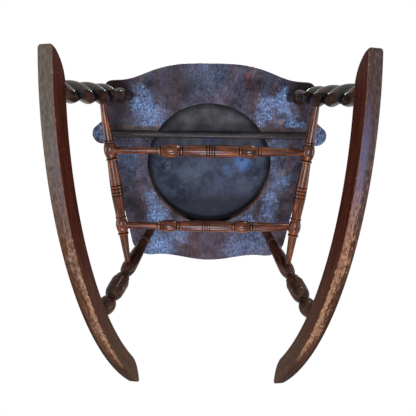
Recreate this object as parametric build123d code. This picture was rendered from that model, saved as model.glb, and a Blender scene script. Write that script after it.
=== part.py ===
from build123d import *
import os
from math import asin, atan2, cos, degrees, radians, sin, sqrt

# Hoop back rocking chair, mm and degrees. The chair is first built level over its
# rockers' middle, with X across it, the front towards -Y and Z up, and at the end it
# is leaned back to where it balances. Left is the side at -X, right the one at +X.

# ---------------------------------------------------------------- driving dimensions
fit = 0.15                 # radial clearance of every tenon in its socket

# seat board, on its own sloping plane: x across, y to the rear, z up through it
seat_height = 360.6        # floor to the underside, at the middle of the rockers
seat_slope = 3.66          # the front stands higher
seat_thick = 24.0
seat_front = 253.6         # middle of the front edge, forward of the seat's centre
seat_rear = 220.0          # middle of the rear edge
front_corner_x = 234.0
front_corner_y = 214.5
rear_corner_x = 183.0
rear_corner_y = 207.0
front_corner_radius = 16.0
rear_corner_radius = 44.0
seat_edge_round = 7.0
ear_x = 247.0              # round lobes that carry the arm posts
ear_y = -96.0
ear_radius = 22.0
ear_blend = 36.0           # how far forward the lobe's front side starts
ear_hollow = 6.0           # rounding of the inner corners beside the lobes
waist_x = 236.0            # half width of the seat beside the lobes

# round hole, the dished leather panel in its rabbet, and the rod under it
hole_radius = 143.5
hole_y = -23.5
rabbet_width = 10.0
panel_thick = 3.0
panel_dish = 13.0          # how far the panel hangs at its middle
rod_radius = 8.0
rod_y = -97.5
rod_half_length = 222.0
groove_depth = 4.0
groove_front = 19.0        # groove's front side, ahead of the rod's axis
groove_rear = 9.0

# rockers: bent boards, leaning so that their lower edges stand further apart
rocker_spread = 220.9      # centre line to the inner lower edge, at the middle
rocker_y = -13.6
rocker_radius = 750.7
rocker_depth = 39.2
rocker_thick = 25.1
rocker_toe = 5.03          # the rear ends stand closer together
rocker_lean = 10.69
rocker_front = 304.0       # along the lower edge, from the middle to each end
rocker_rear = 479.5
rocker_front_nose = 54.0   # length of the rounding of each end
rocker_rear_nose = 80.0
rocker_edge_round = 2.5

# legs: where they enter the seat, and where they stand along the rocker's top edge
front_leg_x = 181.4
front_leg_y = -182.5
front_foot = -239.2
rear_leg_x = 139.7
rear_leg_y = 136.6
rear_foot = 210.2
leg_tenon_radius = 9.0
leg_tenon_length = 17.0
neck_straight = 8.0        # plain length of each leg's neck below the seat
rear_neck = 42.0           # below the seat, to the rear leg's first bead
foot_tenon_radius = 8.0
foot_tenon_length = 20.0

# rope-turned shank of the front legs
rope_start = 67.0          # below the seat, at the end of the bead
rope_neck_radius = 10.6
rope_radius = 20.0
rope_foot_radius = 18.8
rope_groove = 4.6          # depth between the strands
rope_swell = 76.0          # length of the taper from the neck to the full rope
rope_pitch = 127.0         # one full turn of a strand
rope_groove_front = 174.0  # below the seat, where a groove faces the front
rope_step = 24.0           # turn from one section of the rope to the next

# stretchers
side_front_down = 145.9    # where the side stretchers enter the legs, below the seat
side_rear_down = 153.7
side_end_radius = 6.2
side_bulb_front = 109.5    # centres of the two bulbs, behind the front leg's axis
side_bulb_rear = 271.5
side_bulb_length = 31.5
side_tenon = 11.0
side_straight = 22.0       # plain end of a side stretcher, from the leg's axis
cross_end_radius = 6.9
cross_tenon = 8.5

# back: a bent hoop on a leaning plane, with spindles fanning up into it
back_recline = 13.0        # from square to the seat
back_y = 182.0
hoop_rod_radius = 10.0
hoop_foot_x = 150.0
hoop_radius = 205.0        # of the round top, to the rod's centre
hoop_height = 590.0
hoop_tenon_radius = 8.0
hoop_tenon_length = 18.0
spindle_count = 7
spindle_foot_gap = 33.0
spindle_top_gap = 46.0
spindle_end_radius = 5.0
spindle_tenon = 11.0
spindle_top_radius = 4.2
spindle_top_tenon = 5.0    # how far the tops enter the hoop
spindle_neck = 26.0        # plain low end, from the seat to the first ring

# arms, over turned posts and spindles
arm_height = 215.0         # top of the seat to the arm's underside
arm_thick = 19.0
arm_front_y = -150.0
arm_front_x = 249.0
arm_hand_radius = 23.0
arm_bow = 17.0             # outward bend between the hand and the hoop
arm_rear_width = 30.0
arm_rear_reach = 24.0      # behind the hoop
arm_rear_round = 12.0
arm_edge_round = 4.0
post_tenon_radius = 12.0
post_lean_x = 4.0          # the post's top, outward and forward of its foot
post_lean_y = -14.0
top_tenon_radius = 7.0
top_tenon_length = 13.0
post_base_radius = 15.5
post_ball = 34.0           # length of the ball over the post's foot
post_ring_radius = 13.0
arm_spindle_ys = (-15.0, 68.0)
arm_spindle_inset = 15.0   # from the seat's side edge
arm_spindle_end_radius = 6.5
arm_spindle_tenon = 16.0
arm_spindle_lean_x = 32.0   # the spindle's top, outward and behind its foot
arm_spindle_lean_y = 26.0
arm_spindle_neck = 28.0    # plain ends, up to the rings
arm_spindle_taper = 22.0   # from a ring to the full thickness
wedge_thick = 2.4
wedge_length = 15.0
screw_radius = 2.4
screw_head_radius = 4.6
screw_length = 30.0

trim_width = 700.0         # blocks that trim ends and feet, wider than the chair
trim_depth = 80.0

wood_density = 0.70e-3     # g per cubic mm
leather_density = 0.90e-3


# ---------------------------------------------------------------- shared operations
def turned(start_radius, cuts):
    """Turn a piece along +Z: each cut is (length, end radius, swell at its middle)."""
    radius, height = start_radius, 0.0
    outline = [Line((0, 0), (radius, 0))]
    for length, end_radius, swell in cuts:
        start = (radius, height)
        end = (end_radius, height + length)
        middle = ((radius + end_radius) / 2 + swell, height + length / 2)
        outline.append(ThreePointArc(start, middle, end) if swell else Line(start, end))
        radius, height = end
    outline += [Line((radius, height), (0, height)), Line((0, height), (0, 0))]
    return revolve(Plane.XZ * make_face(outline), Axis.Z)


def along(start, end, facing=(0, -1, 0)):
    """Plane at start whose Z runs to end and whose X faces the given way."""
    run = (end - start).normalized()
    facing = Vector(*facing)
    across = facing - run * facing.dot(run)
    return Plane(origin=start, x_dir=across, z_dir=run)


def rod(start, end, radius, before=0.0, after=0.0):
    """Plain round rod from start to end, lengthened at either end."""
    length = (end - start).length + before + after
    upright = (Align.CENTER, Align.CENTER, Align.MIN)
    return along(start, end).offset(-before) * Cylinder(radius, length, align=upright)


def trim_block(side=Align.MIN):
    """Block over or under a plane, wide enough to trim whatever crosses it."""
    return Box(trim_width, trim_width, trim_depth, align=(Align.CENTER, Align.CENTER, side))


def drilled(piece, *holes):
    for hole in holes:
        piece = piece - hole
    return piece


def mirrored(piece):
    return mirror(piece, about=Plane.YZ)


pieces = {}


def both_sides(name, piece):
    """Keep a right-hand piece and its mirror image."""
    pieces[f"{name}_right"] = piece
    pieces[f"{name}_left"] = mirrored(piece)


# ---------------------------------------------------------------- frames
slope = radians(seat_slope)
seat_plane = Plane(origin=(0, 0, seat_height), x_dir=(1, 0, 0), z_dir=(0, sin(slope), cos(slope)))

toe, lean = radians(rocker_toe), radians(rocker_lean)
rocker_outward = Vector(cos(lean) * cos(toe), cos(lean) * sin(toe), sin(lean))
rocker_plane = Plane(
    origin=(rocker_spread, rocker_y, 0),
    x_dir=(-sin(toe), cos(toe), 0),
    z_dir=rocker_outward,
)
recline = radians(back_recline)
back_plane = Plane(
    origin=seat_plane.from_local_coords((0, back_y, seat_thick)),
    x_dir=(1, 0, 0),
    z_dir=(0, -cos(slope + recline), sin(slope + recline)),
)


def on_seat(x, y, z=0.0):
    return seat_plane.from_local_coords(Vector(x, y, z))


def on_back(x, up, out=0.0):
    return back_plane.from_local_coords(Vector(x, up, out))


def on_rocker(run, up):
    """Point of the rocker's plane, by its run along the lower edge and its height."""
    turn = run / rocker_radius
    reach = rocker_radius - up
    return (reach * sin(turn), rocker_radius - reach * cos(turn))


# ---------------------------------------------------------------- rockers
def make_rocker_blank():
    """Board bent to one radius, with both ends rounded off on top."""
    lower = ThreePointArc(
        on_rocker(-rocker_front, 0), on_rocker(0, 0), on_rocker(rocker_rear, 0)
    )
    upper = ThreePointArc(
        on_rocker(-rocker_front + rocker_front_nose, rocker_depth),
        on_rocker(0, rocker_depth),
        on_rocker(rocker_rear - rocker_rear_nose, rocker_depth),
    )
    front_nose = TangentArc(upper @ 0, lower @ 0, tangent=-(upper % 0))
    rear_nose = TangentArc(upper @ 1, lower @ 1, tangent=upper % 1)
    side = make_face([lower, rear_nose, upper, front_nose])
    board = extrude(rocker_plane * side, amount=rocker_thick)
    return fillet(board.edges(), rocker_edge_round)


def foot_frame(run):
    """Point at the middle of the rocker's top edge, and the edge's own upward way."""
    x, y = on_rocker(run, rocker_depth)
    point = rocker_plane.from_local_coords(Vector(x, y, rocker_thick / 2))
    turn = run / rocker_radius
    up = rocker_plane.y_dir * cos(turn) - rocker_plane.x_dir * sin(turn)
    return point, up


rocker_blank = make_rocker_blank()
front_foot_point, front_foot_up = foot_frame(front_foot)
rear_foot_point, rear_foot_up = foot_frame(rear_foot)
front_seat_point = on_seat(front_leg_x, front_leg_y)
rear_seat_point = on_seat(rear_leg_x, rear_leg_y)
front_leg_frame = along(front_seat_point, front_foot_point)
rear_leg_frame = along(rear_seat_point, rear_foot_point)
front_leg_length = (front_foot_point - front_seat_point).length
rear_leg_length = (rear_foot_point - rear_seat_point).length


def foot_tenon(point, frame, radius, length):
    return rod(point, point + frame.z_dir * length, radius, before=4)


def stood_on_rocker(leg, point, up, frame):
    """Trim a leg's foot to the rocker's top edge and add the tenon that enters it."""
    below = Plane(origin=point, z_dir=-up) * trim_block()
    trimmed = leg - below - rocker_blank
    return trimmed + foot_tenon(point, frame, foot_tenon_radius, foot_tenon_length)


both_sides(
    "rocker",
    drilled(
        rocker_blank,
        foot_tenon(front_foot_point, front_leg_frame, foot_tenon_radius + fit, foot_tenon_length + 1),
        foot_tenon(rear_foot_point, rear_leg_frame, foot_tenon_radius + fit, foot_tenon_length + 1),
    ),
)


# ---------------------------------------------------------------- front legs
def rope_section(down):
    """Two overlapping strands at one distance below the seat."""
    swell = min((down - rope_start) / rope_swell, 1.0)
    eased = swell * swell * (3 - 2 * swell)
    radius = rope_neck_radius + (rope_radius - rope_neck_radius) * eased
    past = max(down - rope_start - rope_swell, 0) / (front_leg_length - rope_start - rope_swell)
    radius -= (rope_radius - rope_foot_radius) * past
    notch = radius - rope_groove * eased
    turn = -360 * (down - rope_groove_front) / rope_pitch
    near, far = (notch, 0), (-notch, 0)
    section = make_face([ThreePointArc(near, (0, radius), far), ThreePointArc(far, (0, -radius), near)])
    return Pos(0, 0, down) * Rot(0, 0, turn) * section


def make_front_leg():
    """Neck and bead, then the rope, swelling from the neck and twisting to the foot."""
    neck = leg_tenon_radius
    bead_length = 31.0
    top = turned(
        neck,
        [
            (leg_tenon_length + neck_straight, neck, 0),
            (rope_start - bead_length - neck_straight, neck + 0.4, 0),
            (bead_length, rope_neck_radius, 4.2),
        ],
    )
    end = front_leg_length + rope_radius / 2
    count = round((end - rope_start) / rope_pitch * 360 / rope_step)
    downs = [rope_start + (end - rope_start) * i / count for i in range(count + 1)]
    rope = loft([rope_section(down) for down in downs])
    leg = front_leg_frame * (Pos(0, 0, -leg_tenon_length) * top + rope)
    return stood_on_rocker(leg, front_foot_point, front_foot_up, front_leg_frame)


# ---------------------------------------------------------------- rear legs
def make_rear_leg():
    """Neck, small bead and long vase over a cove, a barrel, a cove and a ball."""
    neck = leg_tenon_radius
    lower = [
        (18, 13.5, 0.8),
        (8, 10, -1),
        (5, 13.8, -0.8),
        (4, 13.8, 0.8),
        (56, 12.5, 6),
        (5, 10.2, -0.8),
        (4, 13.5, -0.6),
        (3, 13.5, 0.6),
        (33.5, 9, 5.4),
        (10, 9, 0),
    ]
    upper = [
        (leg_tenon_length + neck_straight, neck, 0),
        (rear_neck - neck_straight, neck + 0.5, 0),
        (16, 10.5, 2.5),
    ]
    used = sum(cut[0] for cut in upper + lower) - leg_tenon_length - 10
    vase = [(rear_leg_length - used, 15.6, 0.8)]
    leg = rear_leg_frame.offset(-leg_tenon_length) * turned(neck, upper + vase + lower)
    return stood_on_rocker(leg, rear_foot_point, rear_foot_up, rear_leg_frame)


# ---------------------------------------------------------------- side stretchers
side_start = front_seat_point + front_leg_frame.z_dir * side_front_down
side_end = rear_seat_point + rear_leg_frame.z_dir * side_rear_down
side_frame = along(side_start, side_end, facing=(0, 0, 1))
side_length = (side_end - side_start).length
ring = [(1.2, 9.2, 0), (0.9, 11.2, 0), (2.1, 11.2, 0), (0.9, 9.2, 0)]
side_ring_length = sum(cut[0] for cut in ring)
grooves = [(1.2, 10.2, 0), (1.2, 11.8, 0), (5, 11.8, 0)]


def make_side_stretcher():
    """Tapered ends, two ringed bulbs, and a body with three rings at its middle."""
    start = -side_tenon + 8
    half_bulb = side_bulb_length / 2
    bulb = [(side_bulb_length, 9.2, 3.4)]
    first_ring = side_bulb_front - half_bulb - side_ring_length
    rings = grooves * 3 + grooves[:2]
    ring_run = sum(cut[0] for cut in rings)
    between = side_bulb_rear - side_bulb_front - side_bulb_length - 2 * side_ring_length
    half_body = (between - ring_run) / 2
    last = side_length - side_bulb_rear - half_bulb - side_ring_length
    cuts = [(side_straight - start, side_end_radius, 0)]
    cuts += [(first_ring - side_straight, 9.9, 0)] + ring + bulb + ring
    cuts += [(half_body, 11.8, 0)] + rings + [(half_body, 9.6, 0)]
    cuts += ring + bulb + ring
    cuts += [(last - side_straight, side_end_radius, 0), (side_straight - start, side_end_radius, 0)]
    return side_frame.offset(start) * turned(side_end_radius, cuts)


def leg_socket(point, towards):
    """Hole in a leg for the end of a side stretcher."""
    run = (towards - point).normalized()
    reach = 2 * rope_radius
    return rod(point + run * (8 - side_tenon - 1), point + run * reach, side_end_radius + fit)


both_sides("front_leg", drilled(make_front_leg(), leg_socket(side_start, side_end)))
both_sides("rear_leg", drilled(make_rear_leg(), leg_socket(side_end, side_start)))


# ---------------------------------------------------------------- cross stretchers
def cross_point(distance):
    """Centre of a side stretcher's bulb, on the right."""
    return side_start + side_frame.z_dir * distance


def make_cross_stretcher(half_length, body_radius, bulb_radius, half_rings, body_length, shift):
    """Straight ends, two ringed bulbs and a flaring body with fine rings at its middle."""
    waist = cross_end_radius + 2.6
    collar = [(1, waist, 0), (1, waist + 1.3, 0), (1.6, waist + 1.3, 0), (1, waist, 0)]
    collar_length = sum(cut[0] for cut in collar)
    bulb_length = 30.0
    bulb = [(bulb_length, waist, bulb_radius - waist)]
    fine = [(0.9, body_radius - 1.4, 0), (0.9, body_radius, 0), (half_rings / 2 - 1.8, body_radius, 0)]
    rings = fine * 4
    ends = half_length - half_rings - body_length - 4 * collar_length - bulb_length
    cuts = [(ends - shift, cross_end_radius, 0)]
    cuts += collar + collar + bulb + collar + collar
    cuts += [(body_length, body_radius, 0)] + rings + [(body_length, waist, 0)]
    cuts += collar + collar + bulb + collar + collar
    cuts += [(0, cross_end_radius, 0), (ends + shift, cross_end_radius, 0)]
    return turned(cross_end_radius, cuts)


cross_sizes = {
    "front": (side_bulb_front, 13.0, 13.6, 10.5, 46.0, -1.5),
    "rear": (side_bulb_rear, 12.0, 12.7, 10.5, 43.0, 5.8),
}
side_holes = []
side_bulb_radius = 12.6
for end, (bulb_at, body_radius, bulb_radius, half_rings, body_length, shift) in cross_sizes.items():
    right = cross_point(bulb_at)
    left = Vector(-right.X, right.Y, right.Z)
    tenon_end = side_bulb_radius - cross_tenon
    half_length = right.X - tenon_end
    stretcher = make_cross_stretcher(half_length, body_radius, bulb_radius, half_rings, body_length, shift)
    frame = along(left, right)
    pieces[f"{end}_cross_stretcher"] = frame.offset(tenon_end) * stretcher
    middle = Vector(0, right.Y, right.Z)
    side_holes.append(rod(right, middle, cross_end_radius + fit, before=-tenon_end + 0.5))
both_sides("side_stretcher", drilled(make_side_stretcher(), *side_holes))


# ---------------------------------------------------------------- hoop and back spindles
hoop_centre = hoop_height - hoop_radius


def hoop_touch():
    """Where the straight side of the hoop runs into its round top, on the right."""
    distance = sqrt(hoop_foot_x**2 + hoop_centre**2)
    turn = atan2(-hoop_centre, hoop_foot_x) + asin(sqrt(1 - (hoop_radius / distance) ** 2))
    return hoop_radius * cos(turn), hoop_centre + hoop_radius * sin(turn)


touch_x, touch_up = hoop_touch()
hoop_foot = on_back(hoop_foot_x, 0)
hoop_touch_point = on_back(touch_x, touch_up)
hoop_side_way = (hoop_touch_point - hoop_foot).normalized()


def make_hoop():
    """One steamed rod: two straight sides that run into a round top."""
    left_touch = on_back(-touch_x, touch_up)
    left_foot = on_back(-hoop_foot_x, 0)
    path = Wire(
        [
            Edge.make_line(hoop_foot, hoop_touch_point),
            Edge.make_three_point_arc(hoop_touch_point, on_back(0, hoop_height), left_touch),
            Edge.make_line(left_touch, left_foot),
        ]
    )
    section = Plane(origin=hoop_foot, z_dir=hoop_side_way) * Circle(hoop_rod_radius)
    return sweep(section, path=path)


hoop_blank = make_hoop()
seat_top_cut = seat_plane.offset(seat_thick) * trim_block(Align.MAX)


def hoop_tenon(radius, length):
    return rod(hoop_foot - hoop_side_way * length, hoop_foot, radius, after=6)


def hoop_up(x):
    """Height of the round top's centre line over a point x across it."""
    return hoop_centre + sqrt(hoop_radius**2 - x**2)


def spindle_ends(place):
    """Foot on the seat and top in the hoop of a back spindle, by its place in the fan."""
    foot = on_back(place * spindle_foot_gap, 0)
    top_x = place * spindle_top_gap
    return foot, on_back(top_x, hoop_up(top_x))


def make_back_spindle(foot, top):
    """Slender spindle, thicker low down between two rings, let into seat and hoop."""
    low = spindle_end_radius + 0.6
    high = spindle_top_radius
    full = low + 1.8
    ring = low + 2.8
    length = (top - foot).length - hoop_rod_radius + spindle_top_tenon
    cuts = [(spindle_tenon + spindle_neck, low, 0), (3, ring, 0), (3, low, 0)]
    cuts += [(18, full, 0), (96, full, 0), (22, low, 0), (3, ring, 0), (3, low, 0)]
    used = sum(cut[0] for cut in cuts) - spindle_tenon
    cuts += [(10, high, 0), (length - used - 10, high, 0)]
    return along(foot, top).offset(-spindle_tenon) * turned(low, cuts)


hoop = (hoop_blank - seat_top_cut) + hoop_tenon(hoop_tenon_radius, hoop_tenon_length)
hoop = hoop + mirrored(hoop_tenon(hoop_tenon_radius, hoop_tenon_length))
seat_holes = []
hoop_socket = hoop_tenon(hoop_tenon_radius + fit, hoop_tenon_length + 1)
seat_holes += [hoop_socket, mirrored(hoop_socket)]
places = [i - (spindle_count - 1) / 2 for i in range(spindle_count)]
for number, place in enumerate(places, start=1):
    foot, top = spindle_ends(place)
    pieces[f"back_spindle_{number}"] = make_back_spindle(foot, top)
    run = (top - foot).normalized()
    seat_holes.append(rod(foot - run * (spindle_tenon + 1), foot, spindle_end_radius + 0.6 + fit, after=8))
    socket_end = top + run * (spindle_top_tenon + 1 - hoop_rod_radius)
    hoop = hoop - rod(top - run * 2 * hoop_rod_radius, socket_end, spindle_top_radius + fit)
pieces["back_hoop"] = hoop


# ---------------------------------------------------------------- arms
arm_z = seat_thick + arm_height
arm_plane = seat_plane.offset(arm_z)
hoop_at_arm_up = (arm_height + arm_thick / 2) / cos(recline)
hoop_at_arm_x = hoop_foot_x + (touch_x - hoop_foot_x) * hoop_at_arm_up / touch_up
hoop_at_arm_y = back_y + hoop_at_arm_up * sin(recline)


def make_arm():
    """Flat arm with a round hand, bowed outward, let onto the outside of the hoop."""
    inner_x = hoop_at_arm_x + 2
    end_y = hoop_at_arm_y + arm_rear_reach
    outer_rear = (inner_x + arm_rear_width, end_y)
    inner_rear = (inner_x, end_y)
    outer_front = (arm_front_x + arm_hand_radius, arm_front_y)
    inner_front = (arm_front_x - arm_hand_radius, arm_front_y)
    middle_y = (arm_front_y + end_y) / 2
    outer_middle = ((outer_front[0] + outer_rear[0]) / 2 + arm_bow * 0.6, middle_y)
    inner_middle = ((inner_front[0] + inner_rear[0]) / 2 + arm_bow, middle_y)
    outline = make_face(
        [
            ThreePointArc(outer_front, outer_middle, outer_rear),
            Line(outer_rear, inner_rear),
            ThreePointArc(inner_rear, inner_middle, inner_front),
            ThreePointArc(inner_front, (arm_front_x, arm_front_y - arm_hand_radius), outer_front),
        ]
    )
    board = extrude(outline, amount=arm_thick)
    rear_uprights = [edge for edge in board.edges().filter_by(Axis.Z) if edge.center().Y > end_y - 1]
    board = fillet(rear_uprights, arm_rear_round)
    return arm_plane * fillet(board.edges(), arm_edge_round) - hoop_blank


def fitted(body, foot, top, way, foot_radius, foot_length, top_radius):
    """Trim an upright to the seat's top and the arm's underside and add its tenons."""
    seat_side = Plane(origin=seat_plane.offset(seat_thick).origin, z_dir=-seat_plane.z_dir)
    body = body - arm_plane * trim_block() - seat_side * trim_block()
    body = body + rod(foot - way * foot_length, foot + way * 4, foot_radius)
    return body + rod(top - way * 4, top + way * top_tenon_length, top_radius)


def make_arm_post(foot, top):
    """Stout baluster: a ball, a vase and a ringed neck between two tenons."""
    base = post_base_radius
    low = [(8, base, 0), (5, base, 1.2), (3, base - 3.5, 0), (post_ball, base - 3.5, 6), (3, 9.5, 0)]
    ring = post_ring_radius
    rings = [(4, ring, 0), (4, ring, 0), (3, ring - 3, 0)]
    neck = [(3, ring, 0), (6, ring, 1.0), (4, ring, 0)]
    used = sum(cut[0] for cut in low + rings + neck) - 8
    spare = (top - foot).length - used
    vase = [(spare * 0.55, 16, 1.5), (spare * 0.45, 9.5, 0.8)]
    return along(foot, top).offset(-4) * turned(base, low + rings + vase + neck)


def make_arm_spindle(foot, top):
    """Short spindle, thicker between its two rings."""
    end = arm_spindle_end_radius
    rise = [(arm_spindle_neck, end, 0), (3, end + 2.8, 0), (3, end, 0), (arm_spindle_taper, end + 2.6, 0)]
    fall = [(arm_spindle_taper, end, 0), (3, end + 2.8, 0), (3, end, 0), (arm_spindle_neck, end, 0)]
    used = sum(cut[0] for cut in rise + fall) - 8
    swell = [((top - foot).length - used, end + 2.6, 0)]
    return along(foot, top).offset(-4) * turned(end, rise + swell + fall)


arm = make_arm()
arm_holes = []
post_base = on_seat(ear_x, ear_y)
post_top = on_seat(ear_x + post_lean_x, ear_y + post_lean_y, arm_z)
post_way = (post_top - post_base).normalized()
post_foot = post_base + post_way * (seat_thick / post_way.dot(seat_plane.z_dir))
post_tenon_length = (post_foot - post_base).length
post_top_end = post_top + post_way * (top_tenon_length + 1)
arm_holes.append(rod(post_top, post_top_end, top_tenon_radius + fit, before=5))
post_socket = rod(post_base, post_foot, post_tenon_radius + fit, before=8, after=8)
seat_holes += [post_socket, mirrored(post_socket)]
post = make_arm_post(post_foot, post_top)
post = fitted(post, post_foot, post_top, post_way, post_tenon_radius, post_tenon_length, top_tenon_radius)


def side_edge_x(y):
    """Half width of the seat at a point of its straight side, behind the lobe."""
    share = (y - ear_y) / (rear_corner_y - ear_y)
    return waist_x + (rear_corner_x - waist_x) * share


for label, y in zip(("front", "rear"), arm_spindle_ys):
    foot_x = side_edge_x(y) - arm_spindle_inset
    foot = on_seat(foot_x, y, seat_thick)
    top = on_seat(foot_x + arm_spindle_lean_x, y + arm_spindle_lean_y, arm_z)
    way = (top - foot).normalized()
    spindle = make_arm_spindle(foot, top)
    end = arm_spindle_end_radius
    both_sides(f"{label}_arm_spindle", fitted(spindle, foot, top, way, end, arm_spindle_tenon, end))
    radius = arm_spindle_end_radius + fit
    socket = rod(foot - way * (arm_spindle_tenon + 1), foot, radius, after=6)
    seat_holes += [socket, mirrored(socket)]
    arm_holes.append(rod(top, top + way * (top_tenon_length + 1), radius, before=5))

# wedge across each post's lower tenon, and the screw that holds each arm to the hoop
wedge_plane = along(post_base, post_top)
wedge_root = Rectangle(wedge_thick, 2 * post_tenon_radius - 3)
wedge_tip = Pos(0, 0, wedge_length) * Rectangle(wedge_thick * 0.4, 2 * post_tenon_radius - 3)
wedge = wedge_plane * loft([wedge_root, wedge_tip])
pieces["post_wedges"] = Compound([wedge, mirrored(wedge)])
both_sides("arm_post", post - wedge)

screw_point = on_seat(hoop_at_arm_x + arm_rear_width + 2, hoop_at_arm_y, arm_z + arm_thick / 2)
screw_way = Vector(-1, 0, 0)
screw_cut = screw_point + screw_way * 4
shank = rod(screw_cut, screw_cut + screw_way * screw_length, screw_radius)
head = rod(screw_cut - screw_way * 2.6, screw_cut, screw_head_radius)
screw = shank + head
screw_hole = rod(screw_cut, screw_cut + screw_way * (screw_length + 1), screw_radius + fit)
head_hole = rod(screw_cut - screw_way * 20, screw_cut, screw_head_radius + fit)
pieces["arm_screws"] = Compound([screw, mirrored(screw)])
both_sides("arm", drilled(arm, screw_hole, head_hole, *arm_holes))
pieces["back_hoop"] = drilled(pieces["back_hoop"], screw_hole, mirrored(screw_hole))


# ---------------------------------------------------------------- seat
def seat_outline():
    """Bowed front, straight tapering sides with round ears, and a waved rear."""
    crown = seat_front - front_corner_y
    right_front = [(0.0, 1.0), (0.34, 0.9), (0.55, 0.58), (0.72, 0.2), (0.87, 0.04)]
    front = [(front_corner_x * share, -front_corner_y - crown * rise) for share, rise in right_front]
    wave = seat_rear - rear_corner_y
    right_rear = [(0.0, 1.0), (0.22, 0.73), (0.4, 0.25), (0.56, -0.08), (0.76, 0.0)]
    rear = [(rear_corner_x * share, rear_corner_y + wave * rise) for share, rise in right_rear]
    front_right, rear_right = front[-1], rear[-1]
    flip = lambda points: [(-x, y) for x, y in points]
    front_edge = Spline(*(flip(front)[:0:-1] + front))
    rear_edge = Spline(*(rear[::-1] + flip(rear)[1:]))
    corner = (front_corner_x, -front_corner_y)
    right = [front_right, corner, (waist_x, ear_y), (rear_corner_x, rear_corner_y), rear_right]
    sides = [Line(a, b) for points in (right, flip(right)) for a, b in zip(points, points[1:])]
    return make_face([front_edge, rear_edge] + sides)


def make_ear():
    """Round lobe that runs into the board's side along a slant in front."""
    lobe = Pos(ear_x, ear_y) * Circle(ear_radius)
    root = Pos(waist_x - 5, ear_y - ear_blend) * Circle(4)
    return extrude(make_hull(lobe.edges() + root.edges()), amount=seat_thick)


def corner_edges(board, x, y):
    """Upright edges of the board at a corner and at its mirror image."""
    uprights = board.edges().filter_by(Axis.Z)
    return [edge for edge in uprights if abs(abs(edge.center().X) - x) + abs(edge.center().Y - y) < 1]


def is_hollow(edge):
    """An upright edge beside the lobe, on the line of the board's side."""
    place = edge.center()
    return abs(abs(place.X) - waist_x) < 4 and 2 < abs(place.Y - ear_y) < ear_blend + 6


def make_seat_board():
    """Board with a rounded upper edge, a stepped round hole and the rod's groove."""
    board = extrude(seat_outline(), amount=seat_thick)
    board = fillet(corner_edges(board, front_corner_x, -front_corner_y), front_corner_radius)
    board = fillet(corner_edges(board, rear_corner_x, rear_corner_y), rear_corner_radius)
    ear = make_ear()
    board = board + ear + mirrored(ear)
    hollows = [edge for edge in board.edges().filter_by(Axis.Z) if is_hollow(edge)]
    board = fillet(hollows, ear_hollow)
    top = board.faces().sort_by(Axis.Z)[-1]
    board = fillet(top.edges(), seat_edge_round)
    through = Pos(0, hole_y, seat_thick / 2) * Cylinder(hole_radius, seat_thick + 2)
    rabbet_depth = panel_thick + 1
    rabbet = Pos(0, hole_y, seat_thick) * Cylinder(hole_radius + rabbet_width, 2 * rabbet_depth)
    groove = Pos(0, rod_y + (groove_rear - groove_front) / 2, 0) * Box(
        2 * rod_half_length + 4, groove_front + groove_rear, 2 * groove_depth
    )
    return drilled(seat_plane * (board - through - rabbet - groove), *seat_holes)


def dish_arc(reach, height):
    """Part of a circle about the dish's axis, from its lowest point out to its rim."""
    radius = (reach**2 + panel_dish**2) / (2 * panel_dish)
    half_turn = asin(reach / radius) / 2
    middle = (radius * sin(half_turn), height - panel_dish + radius * (1 - cos(half_turn)))
    return ThreePointArc((0, height - panel_dish), middle, (reach, height))


def make_seat_panel():
    """Leather on a pressed board: a flat rim in the rabbet and a shallow dish."""
    rim = hole_radius + rabbet_width - 0.5
    bend = hole_radius - 3
    lower = dish_arc(bend, 0)
    upper = dish_arc(bend, panel_thick)
    outline = make_face(
        [
            lower,
            Line((bend, 0), (rim, 0)),
            Line((rim, 0), (rim, panel_thick)),
            Line((rim, panel_thick), (bend, panel_thick)),
            upper,
            Line((0, -panel_dish), (0, panel_thick - panel_dish)),
        ]
    )
    dish = revolve(Plane.XZ * outline, Axis.Z)
    return seat_plane * Pos(0, hole_y, seat_thick - panel_thick - 1) * dish



def seat_socket(point, frame):
    """Blind hole in the seat for a leg's tenon."""
    return rod(point, point + frame.z_dir * 8, leg_tenon_radius + fit, before=leg_tenon_length + 1)


front_socket = seat_socket(front_seat_point, front_leg_frame)
rear_socket = seat_socket(rear_seat_point, rear_leg_frame)
seat_holes += [front_socket, mirrored(front_socket), rear_socket, mirrored(rear_socket)]
pieces["seat_board"] = make_seat_board()
pieces["seat_panel"] = make_seat_panel()
rod_z = groove_depth - rod_radius - 0.1
rod_left, rod_right = on_seat(-rod_half_length, rod_y, rod_z), on_seat(rod_half_length, rod_y, rod_z)
pieces["tie_rod"] = rod(rod_left, rod_right, rod_radius)


# ---------------------------------------------------------------- balance and rest pose
def balance_point():
    """Centre of mass of the whole chair."""
    total, moment = 0.0, Vector(0, 0, 0)
    for name, piece in pieces.items():
        mass = piece.volume * (leather_density if name == "seat_panel" else wood_density)
        total += mass
        moment += piece.center(CenterOf.MASS) * mass
    return moment / total


def lowest_point(tilt):
    """Where the rocker's lower edge touches the floor once the chair is tilted."""
    along_way, up_way = rocker_plane.x_dir, rocker_plane.y_dir
    rise = up_way.Y * sin(tilt) + up_way.Z * cos(tilt)
    turn = atan2(-along_way.Y * sin(tilt), rise)
    x, y = rocker_radius * sin(turn), rocker_radius * (1 - cos(turn))
    return rocker_plane.origin + along_way * x + up_way * y


def overhang(tilt, centre):
    """How far the centre of mass lies behind the touching point, at a tilt about X."""
    touch = lowest_point(tilt)
    return (centre.Y - touch.Y) * cos(tilt) - (centre.Z - touch.Z) * sin(tilt)


def resting_tilt():
    centre = balance_point()
    low, high = radians(-25), radians(15)
    for _ in range(50):
        middle = (low + high) / 2
        if overhang(middle, centre) > 0:
            high = middle
        else:
            low = middle
    return degrees((low + high) / 2)


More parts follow.
